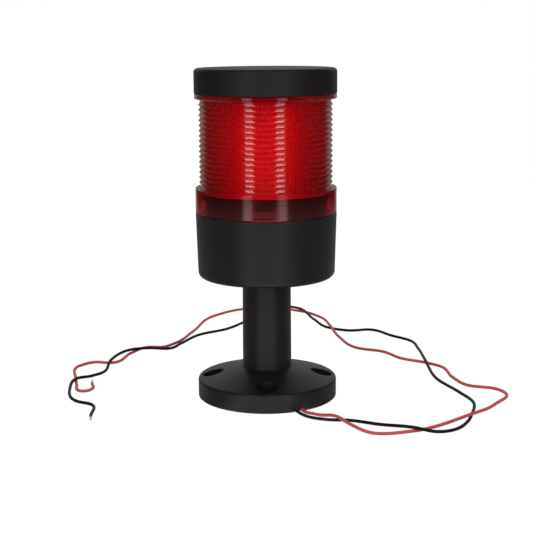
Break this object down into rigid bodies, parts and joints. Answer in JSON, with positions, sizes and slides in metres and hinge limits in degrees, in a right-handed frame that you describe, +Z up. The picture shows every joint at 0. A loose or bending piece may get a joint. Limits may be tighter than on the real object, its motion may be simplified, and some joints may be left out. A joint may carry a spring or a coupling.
{
  "type": "signal tower light",
  "caption": "Round signal tower light: ribbed red lens between a flat black cap and a black housing, on a pole with a conical screw-down foot and two loose supply leads.",
  "frame": {"origin": "centre of the foot's underside, on the surface that it is screwed to", "axes": "+Z up along the pole; -Y towards the viewer of the picture, +X to that viewer's right; the leads leave the foot between +X and -Y"},
  "size_m": [0.2275, 0.2612, 0.1645],
  "materials": {
    "black_plastic": "satin moulded",
    "red_lens": "clear tinted, glossy",
    "white_plastic": "satin moulded",
    "strip_board": "white solder mask",
    "led": "encapsulant",
    "circuit_board": "green solder mask",
    "terminal": "moulded",
    "steel": "zinc plated",
    "brass": "bright",
    "component": "moulded",
    "rubber": "moulded",
    "red_cover": "soft vinyl",
    "black_cover": "soft vinyl",
    "tinned_strand": "tinned strand"
  },
  "bodies": {
    "base": {"stand": "black_plastic", "base_housing": "black_plastic", "bayonet_plate": "black_plastic", "pole_nut": "black_plastic", "led_base": "white_plastic", "led_column": "white_plastic", "led_strip_1": "strip_board", "led_strip_2": "strip_board", "led_strip_3": "strip_board", "led_strip_4": "strip_board", "led_strip_5": "strip_board", "led_strip_6": "strip_board", "led_strip_7": "strip_board", "led_strip_8": "strip_board", "leds": "led", "driver_board": "circuit_board", "terminal_block": "terminal", "pole_washer": "steel", "plate_screws": "steel", "board_screws": "steel", "terminal_screws": "steel", "contact_pins": "brass", "capacitor": "component", "rectifier": "component", "resistors": "component", "base_seal": "rubber", "red_lead": "red_cover", "red_lead_inside": "red_cover", "black_lead": "black_cover", "black_lead_inside": "black_cover", "red_strand": "tinned_strand", "black_strand": "tinned_strand"},
    "light_cover": {"lens": "red_lens", "cap_seal": "rubber"},
    "cap": {"top_cap": "black_plastic"}
  },
  "joints": [
    {"name": "lens_twist", "type": "hinge", "parent": "base", "child": "light_cover", "pos_m": [0, 0, 0.094], "axis": [0, 0, 1], "range_deg": [0, 30]},
    {"name": "cap_twist", "type": "hinge", "parent": "light_cover", "child": "cap", "pos_m": [0, 0, 0.152], "axis": [0, 0, 1], "range_deg": [0, 30]}
  ]
}
